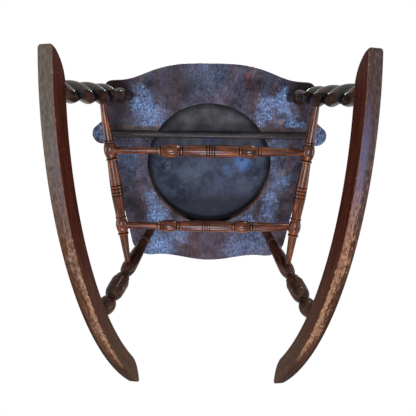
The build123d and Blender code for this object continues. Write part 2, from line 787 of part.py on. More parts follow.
tilt = resting_tilt()
tilted = {name: Rot(tilt, 0, 0) * piece for name, piece in pieces.items()}
box = Compound(list(tilted.values())).bounding_box()
shift = Pos(0, -(box.min.Y + box.max.Y) / 2, -box.min.Z)
print("tilt", round(tilt, 3), "shift", shift.position, "box", box.size)
os.makedirs("parts", exist_ok=True)
for name, piece in tilted.items():
    export_step(shift * piece, f"parts/{name}.step")
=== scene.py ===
from math import asin, atan2, ceil, cos, hypot, pi, radians, sin, sqrt

import bpy
import numpy as np
from mathutils import Matrix, Vector, noise


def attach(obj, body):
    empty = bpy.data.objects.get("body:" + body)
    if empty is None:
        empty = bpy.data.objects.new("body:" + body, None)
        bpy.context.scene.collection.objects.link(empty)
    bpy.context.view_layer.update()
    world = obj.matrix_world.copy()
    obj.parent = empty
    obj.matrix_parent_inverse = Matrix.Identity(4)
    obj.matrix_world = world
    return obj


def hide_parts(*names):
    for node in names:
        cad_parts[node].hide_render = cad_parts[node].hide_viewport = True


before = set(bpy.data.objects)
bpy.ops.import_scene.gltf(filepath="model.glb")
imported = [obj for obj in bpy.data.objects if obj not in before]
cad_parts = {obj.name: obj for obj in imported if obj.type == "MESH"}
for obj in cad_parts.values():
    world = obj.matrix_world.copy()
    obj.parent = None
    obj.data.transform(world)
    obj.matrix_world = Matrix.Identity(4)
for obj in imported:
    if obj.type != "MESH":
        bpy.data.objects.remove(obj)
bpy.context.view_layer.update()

# ------------ how the chair stands
# The chair is laid out level over the middle of its rockers, in millimetres, with its
# front towards -Y, as its maker would draw it. It then leans back to where it balances.
mm = 0.001
lean_back = radians(-4.596)
set_down = Vector((0, -68.87, 0.94)) * mm
chair = Matrix.Translation(set_down) @ Matrix.Rotation(lean_back, 4, "X")

# ------------ rockers
# Two oak boards, bent to one radius, that stand wider apart at the floor than at the
# seat. The floor has worn the stain off their lower faces and chipped their inner lower
# edges, most of all behind the rear legs.
rocker_spread = 220.9
rocker_y = -13.6
rocker_radius = 750.7
rocker_depth = 39.2
rocker_thick = 25.1
rocker_toe = radians(5.03)
rocker_lean = radians(10.69)
rocker_front = 304.0
rocker_rear = 479.5
front_nose = 54.0
rear_nose = 80.0
end_round = 6.0
blunt_end = 7.0
eased_edge = 2.4
board_step = 2.0
corner_steps = 6
side_parts = 14
sole_parts = 11
sharp_angle = radians(34)
chip_length = 8.0
chip_width = 6.0
chip_depth = 2.2
chip_reach = 4.5
reach_behind = 2.5


def linear(code):
    """Linear colour of an sRGB hex code."""
    parts = [int(code[i : i + 2], 16) / 255 for i in (1, 3, 5)]
    return [p / 12.92 if p <= 0.04045 else ((p + 0.055) / 1.055) ** 2.4 for p in parts] + [1]


def add(tree, kind, feeds=None, stops=None, **settings):
    """Add a node with its settings, a ramp's stops, and what feeds each socket: a value, a
    colour's code, a node or a socket."""
    made = tree.nodes.new("ShaderNode" + kind)
    for name, value in settings.items():
        setattr(made, name, value)
    for i, (at, code) in enumerate((stops or {}).items()):
        ramp = made.color_ramp.elements
        stop = ramp[i] if i < 2 else ramp.new(at)
        stop.position, stop.color = at, linear(code)
    for socket, value in (feeds or {}).items():
        value = linear(value) if isinstance(value, str) else value
        value = value.outputs[0] if isinstance(value, bpy.types.Node) else value
        if isinstance(value, bpy.types.NodeSocket):
            tree.links.new(value, made.inputs[socket])
        else:
            made.inputs[socket].default_value = value
    return made


def blots(tree, place, size, detail, roughness=0.5, distortion=0.0):
    """Noise over a place in mm. Its blots have one size in mm, or one for each way."""
    size = size if isinstance(size, tuple) else (size,) * 3
    place = add(tree, "VectorMath", {0: place, 1: size}, operation="DIVIDE")
    return add(tree, "TexNoise", {"Vector": place, "Scale": 1.0, "Detail": detail,
                                  "Roughness": roughness, "Distortion": distortion})


def from_upright(tree, place, x=0.0, y=0.0):
    """Level way to a place from the upright line through x and y, and its length in mm."""
    way = add(tree, "VectorMath", {0: place, 1: (x, y, 0)}, operation="SUBTRACT")
    way = add(tree, "VectorMath", {0: way, 1: (1, 1, 0)}, operation="MULTIPLY")
    return way, add(tree, "VectorMath", {0: way}, operation="LENGTH").outputs["Value"]


def laid_over(tree, colour, *layers):
    """Colour under more layers. Each lies where all its shares of the surface meet, and
    ends with its own colour."""
    for share, *others, over in layers:
        for other in others:
            share = add(tree, "Math", {0: share, 1: other}, operation="MULTIPLY")
        colour = add(tree, "MixRGB", {"Fac": share, "Color1": colour, "Color2": over})
    return colour


def new_material(name):
    """Empty material and its node tree."""
    material = bpy.data.materials.new(name)
    material.use_nodes = True
    material.node_tree.nodes.clear()
    return material, material.node_tree


def turned(z_way, x_way):
    """Rotation that lays Z along one way, and X as near as it can to another."""
    z_way = Vector(z_way).normalized()
    y_way = z_way.cross(Vector(x_way)).normalized()
    return Matrix((y_way.cross(z_way), y_way, z_way)).transposed().to_4x4()


def new_object(name, data):
    """Object in the scene with the data it holds."""
    made = bpy.data.objects.new(name, data)
    bpy.context.scene.collection.objects.link(made)
    return made


def skin(name, rings, places, rises, stand):
    """Closed mesh over rings of points in mm. It keeps each point's place in the straight
    wood, in mm, and its rise, from -1 in a groove or worn spot to 1 on a crest."""
    rows, count = rings.shape[:2]
    row, i = np.meshgrid(np.arange(rows - 1), np.arange(count), indexing="ij")
    here, beside = row * count + i, row * count + (i + 1) % count
    sides = np.stack([here, beside, beside + count, here + count], axis=-1).reshape(-1, 4)
    ends = [list(range(count))[::-1], list(range((rows - 1) * count, rows * count))]
    mesh = bpy.data.meshes.new(name)
    mesh.from_pydata((rings.reshape(-1, 3) * mm).tolist(), [], sides.tolist() + ends)
    place = mesh.attributes.new("place", "FLOAT_VECTOR", "POINT")
    place.data.foreach_set("vector", places.astype(np.float32).ravel())
    rise = mesh.attributes.new("rise", "FLOAT", "POINT")
    rise.data.foreach_set("value", rises.astype(np.float32).ravel())
    mesh.shade_smooth()
    mesh.set_sharp_from_angle(angle=sharp_angle)
    mesh.transform(stand)
    return new_object(name, mesh)


def put_on(piece, material, slot, *nodes):
    """Give a piece its material and let it stand for its nodes of the solid model."""
    piece.data.materials.clear()
    piece.data.materials.append(material)
    if nodes:
        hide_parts(*nodes)
    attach(piece, "root")


def rocker_height(run):
    """Depth of the board at a run along its lower edge, rounded off at both ends."""
    for end, nose in ((run + rocker_front, front_nose), (rocker_rear - run, rear_nose)):
        if end < nose:
            bend = (nose**2 + rocker_depth**2) / (2 * rocker_depth)
            return max(rocker_depth - bend + sqrt(bend**2 - (nose - end) ** 2), blunt_end)
    return rocker_depth


def board_outline(height, edge):
    """Points round the board's cross-section: out from its inner side and up from its
    sole. Its four edges are quarter rounds, and the flats between them are in parts."""
    right, top = rocker_thick - edge, height - edge
    middles = [(right, edge), (right, top), (edge, top), (edge, edge)]
    rounds = []
    for corner, (x, y) in enumerate(middles):
        angles = [radians(90 * (corner - 1 + step / corner_steps)) for step in range(corner_steps + 1)]
        rounds.append([(x + edge * cos(angle), y + edge * sin(angle)) for angle in angles])
    outline = []
    for corner, parts in enumerate((side_parts, sole_parts) * 2):
        (x, y), (end_x, end_y) = rounds[corner][-1], rounds[(corner + 1) % 4][0]
        outline += rounds[corner][:-1]
        for share in [part / parts for part in range(parts)]:
            outline.append((x + (end_x - x) * share, y + (end_y - y) * share))
    return outline


def chipping(run, out, up, hand):
    """How deep a spot is chipped, from 0 to 1. Chips follow the noise of the grain along
    the inner lower edge, and are wider and more frequent behind the rear legs."""
    behind = min(max((run - 10) / 120, 0), 1) * min(max((rocker_rear - 50 - run) / 60, 0), 1)
    near = max(0, 1 - hypot(out, up) / (chip_reach + reach_behind * behind))
    spot = Vector((run / chip_length, out / chip_width, up / chip_width + hand * 9))
    chip = near * (1.0 + 0.9 * behind) + noise.fractal(spot, 0.6, 2.0, 4) - (0.95 - 0.35 * behind)
    return min(max(chip, 0), 1) * min(near * 3, 1)


def make_rocker(side):
    """Bent board with its chips, worked out for the right side and mirrored for the left."""
    hand = 1 if side == "right" else -1
    rings, places, wear = [], [], []
    for run in np.arange(-rocker_front + 1, rocker_rear, board_step):
        height = rocker_height(run)
        near_end = max(0, end_round - min(run + rocker_front, rocker_rear - run))
        narrowed = 1 - 2 * (end_round - sqrt(end_round**2 - near_end**2)) / rocker_thick
        middle_out, middle_up = rocker_thick / 2, max(height / 2, 2)
        ring, place, worn = [], [], []
        for out, up in board_outline(height, min(eased_edge, height / 2.2)):
            chip = chipping(run, out, up, hand)
            away = Vector((out - middle_out, up - middle_up)).normalized()
            out, up = out - away.x * chip * chip_depth, up - away.y * chip * chip_depth
            turn, reach = run / rocker_radius, rocker_radius - up
            shown = middle_out + (out - middle_out) * narrowed
            ring.append((reach * sin(turn), rocker_radius - reach * cos(turn), shown))
            place.append((out, up, run))
            worn.append(-chip)
        rings.append(ring)
        places.append(place)
        wear.append(worn)
    rings, places, wear = (np.array(rows)[:, ::-1] for rows in (rings, places, wear))
    along = (-sin(rocker_toe), cos(rocker_toe), 0)
    level = cos(rocker_lean)
    outward = (level * cos(rocker_toe), level * sin(rocker_toe), sin(rocker_lean))
    stand = chair @ Matrix.Translation(Vector((rocker_spread, rocker_y, 0)) * mm)
    stand = stand @ turned(outward, along)
    piece = skin(f"rocker_{side}_board", rings, places, wear, stand)
    if side == "left":
        piece.data.transform(Matrix.Scale(-1, 4, (1, 0, 0)))
        piece.data.flip_normals()
    return piece


def stained_oak_worn_bare(name, front_sole_and_painted_light, stained, rubbed, wear_from, wear_to, widest, painted_sheen):
    """Dark stained oak. Its sides keep the red-brown stain, satin with pores that are
    drawn 1.2 mm apart, coarser than real ones, so that they show. The sole's front is
    painted lighter and greyer, as light falling from the front, with a painted purple-blue
    sheen along its inner half. Behind, it is speckled bare over its inner part, where it
    rolls most, with raw tan wood where the edge has chipped."""
    material, tree = new_material(name)
    place = add(tree, "Attribute", attribute_name="place").outputs["Vector"]
    rise = add(tree, "Attribute", attribute_name="rise").outputs["Fac"]
    out, up, run = add(tree, "SeparateXYZ", {"Vector": place}).outputs

    # Pores, growth bands and worn specks, all longer along the grain than across it.
    pores = blots(tree, place, (1.2, 1.2, 14), 3.0, 0.65)
    bands = blots(tree, place, (6, 6, 80), 4.0, 0.6)
    specks = blots(tree, place, (2.6, 2.6, 11), 4.0, 0.75)
    grain = add(tree, "MixRGB", {"Fac": 0.5, "Color1": pores, "Color2": bands})
    dust = add(tree, "MixRGB", {"Fac": 0.6, "Color1": grain, "Color2": specks})

    # The stain of the sides, red in front and browner behind.
    red = add(tree, "ValToRGB", {"Fac": grain}, stops={0.34: "#240b06", 0.5: "#451d12", 0.66: "#65301e"})
    brown = add(tree, "ValToRGB", {"Fac": grain}, stops={0.34: "#2b180c", 0.5: "#4a2f1a", 0.66: "#68472a"})
    behind = add(tree, "MapRange", {"Value": run, "From Min": 60.0, "From Max": 300.0})
    colour = add(tree, "MixRGB", {"Fac": behind, "Color1": red, "Color2": brown})

    # The sole, painted lighter and greyer in front as light from the front, and stained behind, with a
    # painted purple-blue sheen along its inner half in front.
    front_sole_and_painted_light = add(tree, "ValToRGB", {"Fac": dust}, stops=dict(zip((0.38, 0.5, 0.62), front_sole_and_painted_light)))
    stained = add(tree, "ValToRGB", {"Fac": dust}, stops=dict(zip((0.38, 0.5, 0.62), stained)))
    rear = add(tree, "MapRange", {"Value": run, "From Min": -130.0, "From Max": 20.0})
    # Painted sheen: purple-blue over the inner half of the sole's front part.
    painted_sheen_share = add(tree, "MapRange", {"Value": out, "From Min": 17.0, "From Max": 8.0, "To Max": painted_sheen})
    starts = add(tree, "MapRange", {"Value": run, "From Min": -240.0, "From Max": -150.0})
    ends = add(tree, "MapRange", {"Value": run, "From Min": 10.0, "From Max": -70.0})
    sole = laid_over(tree, front_sole_and_painted_light, (rear, stained), (painted_sheen_share, starts, ends, "#62617f"))

    # The sole's bare band: ragged by up to 11 mm, and narrower towards the rear.
    bare = add(tree, "ValToRGB", {"Fac": specks}, stops=dict(zip((0.4, 0.5, 0.6), rubbed)))
    ragged = add(tree, "MixRGB", {"Fac": 0.5, "Color1": bands, "Color2": specks})
    ragged = add(tree, "MapRange", {"Value": ragged, "From Min": 0.38, "From Max": 0.62,
                                    "To Min": -11.0, "To Max": 11.0})
    inner = add(tree, "MapRange", {"Value": run, "From Min": 40.0, "From Max": 300.0,
                                   "To Min": widest, "To Max": widest * 0.4})
    inner = add(tree, "Math", {0: inner, 1: out}, operation="SUBTRACT")
    inner = add(tree, "Math", {0: inner, 1: ragged}, operation="ADD")
    inner = add(tree, "MapRange", {"Value": inner, "From Min": -3.0, "From Max": 3.0, "To Max": 0.8})
    starts = add(tree, "MapRange", {"Value": run, "From Min": wear_from - 70.0,
                                    "From Max": wear_from + 50.0})
    ends = add(tree, "MapRange", {"Value": run, "From Min": wear_to + 20.0, "From Max": wear_to - 60.0})
    for share in (starts, ends):
        inner = add(tree, "Math", {0: inner, 1: share}, operation="MULTIPLY")

    # The sole's dark outer edge, and its dark tip where it isn't bare.
    outer = add(tree, "MapRange", {"Value": out, "From Min": 15.0, "From Max": 22.0, "To Max": 0.85})
    starts = add(tree, "MapRange", {"Value": run, "From Min": -20.0, "From Max": 160.0})
    tip = add(tree, "MapRange", {"Value": run, "From Min": 260.0, "From Max": 370.0, "To Max": 0.9})
    kept = add(tree, "Math", {0: 1.0, 1: inner}, operation="SUBTRACT")
    sole = laid_over(tree, sole, (inner, bare), (outer, starts, "#1d120c"), (tip, kept, "#2b1f17"))

    # Over the side's stain: the sole, the rubbed inner edge and the raw wood of the chips.
    low = add(tree, "MapRange", {"Value": up, "From Min": 2.0, "From Max": 0.7})
    _, rim = from_upright(tree, place)
    rim = add(tree, "MapRange", {"Value": rim, "From Min": 2.6, "From Max": 1.0, "To Max": 0.6})
    raw = add(tree, "ValToRGB", {"Fac": pores}, stops={0.34: "#63432f", 0.5: "#9a7354", 0.66: "#b89475"})
    chip = add(tree, "MapRange", {"Value": rise, "From Min": -0.06, "From Max": -0.45})
    ends = add(tree, "MapRange", {"Value": run, "From Min": wear_to + 60.0, "From Max": wear_to - 30.0})
    colour = laid_over(tree, colour, (low, sole), (rim, bands, "#8a5f48"), (chip, ends, raw))
    dull = add(tree, "MapRange", {"Value": low, "To Min": 0.5, "To Max": 0.8})
    bump = add(tree, "Bump", {"Height": dust, "Strength": 0.5, "Distance": 0.0004})
    shade = add(tree, "BsdfPrincipled", {"Base Color": colour, "Roughness": dull, "Normal": bump,
                                         "IOR": 1.45, "Specular IOR Level": 0.06})
    add(tree, "OutputMaterial", {"Surface": shade})
    return material


right_oak = stained_oak_worn_bare(
    "stained_oak_right", front_sole_and_painted_light=("#2c211e", "#4e3e39", "#6e5c54"), stained=("#23130d", "#4c2e20", "#75503d"),
    rubbed=("#5a3828", "#946a50", "#b69072"), wear_from=-70.0, wear_to=275.0, widest=13.5, painted_sheen=0.7,
)
left_oak = stained_oak_worn_bare(
    "stained_oak_left", front_sole_and_painted_light=("#463c32", "#645a4e", "#7c7162"), stained=("#2c190f", "#553724", "#79563f"),
    rubbed=("#4c3426", "#765a48", "#a28472"), wear_from=-10.0, wear_to=320.0, widest=9.5, painted_sheen=0.15,
)
for side, oak in (("right", right_oak), ("left", left_oak)):
    put_on(make_rocker(side), oak, "rocker_wood", f"rocker_{side}")

# ------------ rear legs
# Maple turnings under a brown varnish: a thin neck with a bead, a long vase, a cove, a
# barrel cut with fine rings, a second cove and a ball that stands on the rocker.
leg_tenon = 17.0
fine_cut = 1.5
plain_cut = 8.0
crest_width = 3.5
crest_rise = 1.3


def axis_of(node, way):
    """Frame in the middle of a turned node's first end face, with Z to the middle of its
    other one, and its length in mm."""
    points = np.array([vertex.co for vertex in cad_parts[node].data.vertices], float)
    run = np.linalg.svd(points - points.mean(0), full_matrices=False)[2][0]
    run *= np.sign(run @ np.array(way, float))
    for _ in range(3):
        far = points @ run
        start = points[far < far.min() + 0.4 * mm].mean(0)
        end = points[far > far.max() - 0.4 * mm].mean(0)
        run = (end - start) / np.linalg.norm(end - start)
    start, end = Vector(start), Vector(end)
    return Matrix.Translation(start) @ turned(end - start, (0, -1, 0)), (end - start).length / mm


def profile(first_radius, cuts, length):
    """Heights and radii down a turning, in mm. A cut is its length, end radius and swell,
    and the cut whose length is None takes what is left."""
    spare = length - sum(cut[0] or 0 for cut in cuts)
    heights, radii = [0.0], [first_radius]
    for run, end_radius, swell in cuts:
        run = spare if run is None else run
        start_height, start_radius = heights[-1], radii[-1]
        shaped = swell or abs(end_radius - start_radius) > 0.3
        steps = max(1, ceil(run / (fine_cut if shaped else plain_cut)))
        for share in [step / steps for step in range(1, steps + 1)]:
            straight = start_radius + (end_radius - start_radius) * share
            heights.append(start_height + run * share)
            radii.append(straight + 4 * swell * share * (1 - share))
    return np.array(heights), np.array(radii)


def rings_round(heights, radii):
    """Rings of points round Z at their heights, from each point's own radius."""
    points = radii.shape[1]
    angles = np.arange(points) * 2 * pi / points
    heights = np.repeat(heights[:, None], points, axis=1)
    return np.stack([radii * np.cos(angles), radii * np.sin(angles), heights], axis=-1)


def turn_on_lathe(node, way, first_radius, cuts, points=56, kind="turning"):
    """Turned piece between the ends of its node, which it replaces. A spot's rise is how
    far it stands out from the turning nearby, and each node starts in other wood."""
    stand, length = axis_of(node, way)
    heights, radii = profile(first_radius, cuts, length)
    near = np.exp(-(((heights[:, None] - heights[None, :]) / crest_width) ** 2))
    widths = np.gradient(heights) + 0.01
    mean = (near * widths) @ radii / (near @ widths)
    rises = np.clip((radii - mean) / crest_rise, -1, 1)
    radii, rises = (np.repeat(values[:, None], points, axis=1) for values in (radii, rises))
    rings = rings_round(heights, radii)
    places = rings + np.array((sum(map(ord, node)) % 97, heights[-1], 0))
    return skin(f"{node}_{kind}", rings, places, rises, stand)


def place_in(tree, lie):
    """Place in mm in a frame, for a piece that is shown as its own node."""
    spot = add(tree, "TexCoord").outputs["Object"]
    return add(tree, "Mapping", {"Vector": spot, "Location": lie.translation,
                                 "Rotation": lie.to_euler(), "Scale": (mm, mm, mm)},
               vector_type="TEXTURE").outputs[0]


def varnished_maple(name, groove_varnish_and_shade, dark, middle, light, crest, coat, gloss, lie=None):
    """Maple, stained and varnished on the lathe: dark varnish and painted shade fill the
    grooves with near black, and hands have rubbed the crests back to a lighter wood. Its
    fibres are drawn 1.3 mm apart, coarser than real ones, so that they show."""
    material, tree = new_material(name)
    if lie:
        place = place_in(tree, lie)
    else:
        place = add(tree, "Attribute", attribute_name="place").outputs["Vector"]
    rise = add(tree, "Attribute", attribute_name="rise").outputs["Fac"]
    fibres = blots(tree, place, (1.3, 1.3, 30), 3.0, 0.6)
    flame = blots(tree, place, (9, 9, 45), 3.0, distortion=0.6)
    grain = add(tree, "MixRGB", {"Fac": 0.55, "Color1": fibres, "Color2": flame})
    colour = add(tree, "ValToRGB", {"Fac": grain}, stops={0.34: dark, 0.5: middle, 0.66: light})
    rubbed = add(tree, "MapRange", {"Value": rise, "From Min": 0.15, "From Max": 0.9, "To Max": 0.75})
    patchy = add(tree, "MapRange", {"Value": flame, "From Min": 0.4, "From Max": 0.6})
    # The grooves are painted near black: dark varnish and painted shade.
    varnish_and_shade_in_grooves = add(tree, "MapRange", {"Value": rise, "From Min": -0.12, "From Max": -0.65})
    colour = laid_over(tree, colour, (rubbed, patchy, crest), (varnish_and_shade_in_grooves, groove_varnish_and_shade))
    rough = add(tree, "MapRange", {"Value": flame, "From Min": 0.35, "From Max": 0.65,
                                   "To Min": 0.4, "To Max": 0.6})
    bump = add(tree, "Bump", {"Height": grain, "Strength": 0.2, "Distance": 0.0003})
    shade = add(tree, "BsdfPrincipled", {"Base Color": colour, "Roughness": rough, "Normal": bump,
                                         "IOR": 1.5, "Specular IOR Level": 0.0,
                                         "Coat Weight": coat, "Coat Roughness": gloss})
    add(tree, "OutputMaterial", {"Surface": shade})
    return material


rear_maple = varnished_maple(
    "maple_brown_varnish", "#060302", "#160a06", "#3c2113", "#6c4027", "#70462a", coat=0.4, gloss=0.22
)
ring_cut = [(1.1, 16.6, 0), (1.1, 18.5, 0), (4.0, 18.5, 0)]
rear_leg_cuts = [
    (leg_tenon + 42, 9.6, 0), (16, 10.5, 2.7), (None, 16.0, 0.8),
    (16, 13.9, 0.6), (1.2, 12.6, 0), (1.2, 13.5, 0), (12.6, 10.3, -0.7), (5, 13.8, -0.8), (4, 13.6, 0.9),
    (9.5, 17.6, 0.6), *ring_cut * 4, (1.1, 16.4, 0), (1.1, 17.9, 0), (2.6, 17.9, 0),
    (18.9, 12.2, 1.8), (4, 10.3, -0.6), (5, 13.4, 0.4), (35, 10.4, 5.8), (2.5 + 20, 8.6, 0),
]
for side in ("right", "left"):
    leg = turn_on_lathe(f"rear_leg_{side}", (0, 0, -1), 9, rear_leg_cuts)
    put_on(leg, rear_maple, "leg_wood", f"rear_leg_{side}")

# ------------ front legs
# The same maple, rope-turned: below the neck and bead two strands wind round each other,
# mirrored from leg to leg. They swell from the neck and run thick down to the rocker.
rope_start = 67.0
rope_neck = 10.6
rope_full = 20.0
rope_foot = 18.8
rope_depth = 5.8
rope_swell = 76.0
rope_pitch = 127.0
rope_groove_front = 174.0
rope_points = 96
rope_step = 1.6
foot_tenon = 20.0
foot_sunk = 8.0
other_wood = 31.0


def rope_ring(down, length, hand):
    """Radii round the two strands at a distance below the seat, and their rise."""
    swell = min(max((down - rope_start) / rope_swell, 0), 1)
    eased = swell * swell * (3 - 2 * swell)
    past = max(down - rope_start - rope_swell, 0) / (length - rope_start - rope_swell)
    radius = rope_neck + (rope_full - rope_neck) * eased - (rope_full - rope_foot) * past
    notch = radius - rope_depth * eased
    offset = (radius**2 - notch**2) / (2 * radius)
    strand = radius - offset
    turn = hand * 2 * pi * (down - rope_groove_front) / rope_pitch
    angles = np.arange(rope_points) * 2 * pi / rope_points
    across = np.sin(angles + turn)
    reach = offset * np.abs(across) + np.sqrt(strand**2 - offset**2 * (1 - across**2))
    rise = (reach - (radius + notch) / 2) / max(radius - notch, 0.5) * 2.4 - 0.1
    return reach, np.clip(rise, -1, 1) * eased


def make_front_leg(side):
    """Plain turned top of the leg, then one ring after another down its two strands."""
    hand = 1 if side == "right" else -1
    stand, length = axis_of(f"front_leg_{side}", (0, 0, -1))
    length -= leg_tenon + foot_tenon
    top = [
        (leg_tenon - 2, 9.0, 0), (0.5, 11.0, 0), (34, 10.6, 0), (1.5, 11.8, 0), (33, rope_neck, 4.6),
    ]
    heights, radii = profile(9.0, top, leg_tenon + rope_start)
    even = np.ones(rope_points)
    levels = [(height, radius * even, 0 * even) for height, radius in zip(heights[:-1], radii[:-1])]
    for down in np.arange(rope_start, length + foot_sunk, rope_step):
        levels.append((down + leg_tenon, *rope_ring(down, length, hand)))
    heights, radii, rises = (np.array(values) for values in zip(*levels))
    rings = rings_round(heights, radii)
    return skin(f"front_leg_{side}_rope", rings, rings + other_wood, rises, stand)


leg_maple = varnished_maple(
    "maple_black_varnish", "#030202", "#120a06", "#2c1d12", "#483123", "#503522", coat=0.62, gloss=0.18
)
for side in ("right", "left"):
    put_on(make_front_leg(side), leg_maple, "leg_wood", f"front_leg_{side}")

# ------------ side stretchers
# Thinner maple turnings in a clear red-brown varnish, one between the legs of each side.
# Each has two bulbs, which the cross stretchers enter, and three rings at its middle.
stretcher_maple = varnished_maple(
    "maple_red_brown_varnish", "#040201", "#1c0a04", "#50240e", "#9e5423", "#a0602a", coat=0.62, gloss=0.2
)
collar = [(1.3, 9.0, 0), (0.8, 11.3, 0), (2.0, 11.3, 0), (1.0, 9.2, 0)]
bulb = [(31.5, 9.4, 3.5)]
groove_ring = [(1.3, 9.9, 0), (1.0, 12.0, 0), (5.0, 12.0, 0)]
side_cuts = [
    (25.0, 6.2, 0), (66.7, 9.9, 0), *collar, *bulb, *collar,
    (50.6, 11.9, 0), *groove_ring * 3, *groove_ring[:2], (44.8, 9.8, 0),
    *collar, *bulb, *collar, (None, 6.2, 0), (25.0, 6.2, 0),
]
for side in ("right", "left"):
    node = f"side_stretcher_{side}"
    stretcher = turn_on_lathe(node, (0, 1, 0), 6.2, side_cuts)
    put_on(stretcher, stretcher_maple, "turned_wood", node)

# ------------ cross stretchers
# Two more of the same set, in front and behind. Plain round ends run into the bulbs of
# the side stretchers, and four fine rings, black with varnish and painted shade, stand at
# the middle of a spindle body.
bead_pair = [(1.3, 8.0, 0), (1.0, 10.6, 0), (2.4, 10.6, 0), (1.3, 8.2, 0), (1.0, 10.2, 0)]


def cross_cuts(left_run, end_radius, swell, full, left_body, right_body, right_run):
    """Cuts from the left end: plain end, ringed bulb, body, fine rings, body, bulb, end."""
    ring = [(1.2, 11.3, 0), (1.0, full, 0), (3.0, full, 0)]
    return [
        (left_run, end_radius, 0), *bead_pair, (None, 10.0, swell), *bead_pair,
        (left_body, full, 0.5), *ring * 3, *ring[:2], (right_body, 10.0, 0.5),
        *bead_pair, (31.0, 10.0, swell), *bead_pair, (right_run, end_radius, 0),
    ]


cross_kinds = {
    "front": (91.1, 7.1, 3.9, 13.4, 46.0, 47.0, 90.1),
    "rear": (71.5, 6.9, 3.2, 12.3, 46.5, 45.0, 84.5),
}
for place, sizes in cross_kinds.items():
    node = f"{place}_cross_stretcher"
    stretcher = turn_on_lathe(node, (1, 0, 0), sizes[1], cross_cuts(*sizes))
    put_on(stretcher, stretcher_maple, "turned_wood", node)

# ------------ seat board
# Oak boards glued side to side with the grain from front to back. Its top and edges keep
# their varnish. Underneath it was never finished: it is grey and violet with age, rubbed
# bluish in patches, darker in its groove, and its round ears show checked end grain.
seat_height = 360.6
seat_slope = radians(3.66)
seat_thick = 24.0
hole_radius = 143.5
hole_y = -23.5
ear_x = 247.0
ear_y = -96.0
rod_y = -97.5
seat_frame = chair @ Matrix.Translation((0, 0, seat_height * mm)) @ Matrix.Rotation(-seat_slope, 4, "X")
# Each rubbed spot is its x and y in mm, its reach in mm and its strength.
rubbed_spots = [
    (132, -160, 34, 0.7), (118, -140, 24, 0.65), (163, -176, 26, 0.9), (168, -150, 22, 0.7),
    (196, -122, 26, 0.95), (-158, -168, 36, 0.85), (-138, -140, 46, 0.7), (150, 60, 26, 0.55),
    (146, 100, 24, 0.65), (96, 122, 26, 0.75), (-122, 100, 34, 0.8), (-138, 52, 26, 0.5),
    (-128, 182, 50, 0.9), (112, 176, 46, 0.35), (0, -222, 60, 0.25), (250, -92, 24, 1.0),
    (-250, -92, 24, 0.8), (-70, 150, 30, 0.5), (-190, -30, 40, 0.25), (176, 10, 30, 0.5),
    (150, -60, 30, 0.4), (60, 190, 40, 0.45),
]
# Each stain has its colour as well.
stains = [
    (-218, -196, 62, 0.9, "#2e2019"), (212, -204, 44, 0.85, "#241c1a"), (-190, -130, 46, 0.45, "#41332e"),
    (84, -228, 6, 0.8, "#9a4c30"), (78, -214, 7, 0.5, "#6e4230"), (162, -128, 9, 0.7, "#8d7a66"),
    (176, -9, 10, 0.6, "#7a6c5c"), (150, 132, 26, 0.6, "#5e4033"), (0, 190, 90, 0.35, "#5a3f3c"),
    (-190, 60, 60, 0.35, "#40322f"), (-70, -200, 70, 0.35, "#443a3a"), (120, -52, 16, 0.5, "#75685f"),
]


def wandered(tree, place, pattern, reach):
    """Place moved by a noise's colours, by up to half a reach in mm either way."""
    way = add(tree, "VectorMath", {0: pattern.outputs["Color"], 1: (0.5, 0.5, 0.5)}, operation="SUBTRACT")
    way = add(tree, "VectorMath", {0: way, 1: reach}, operation="MULTIPLY")
    return add(tree, "VectorMath", {0: place, 1: way}, operation="ADD")


def round_spot(tree, place, x, y, reach, core, strength=1.0):
    """Round spot that is strongest up to its core's radius and fades out at its reach."""
    far = add(tree, "VectorMath", {0: place, 1: (x, y, 0)}, operation="DISTANCE").outputs["Value"]
    return add(tree, "MapRange", {"Value": far, "From Min": float(reach), "From Max": core,
                                  "To Max": strength})


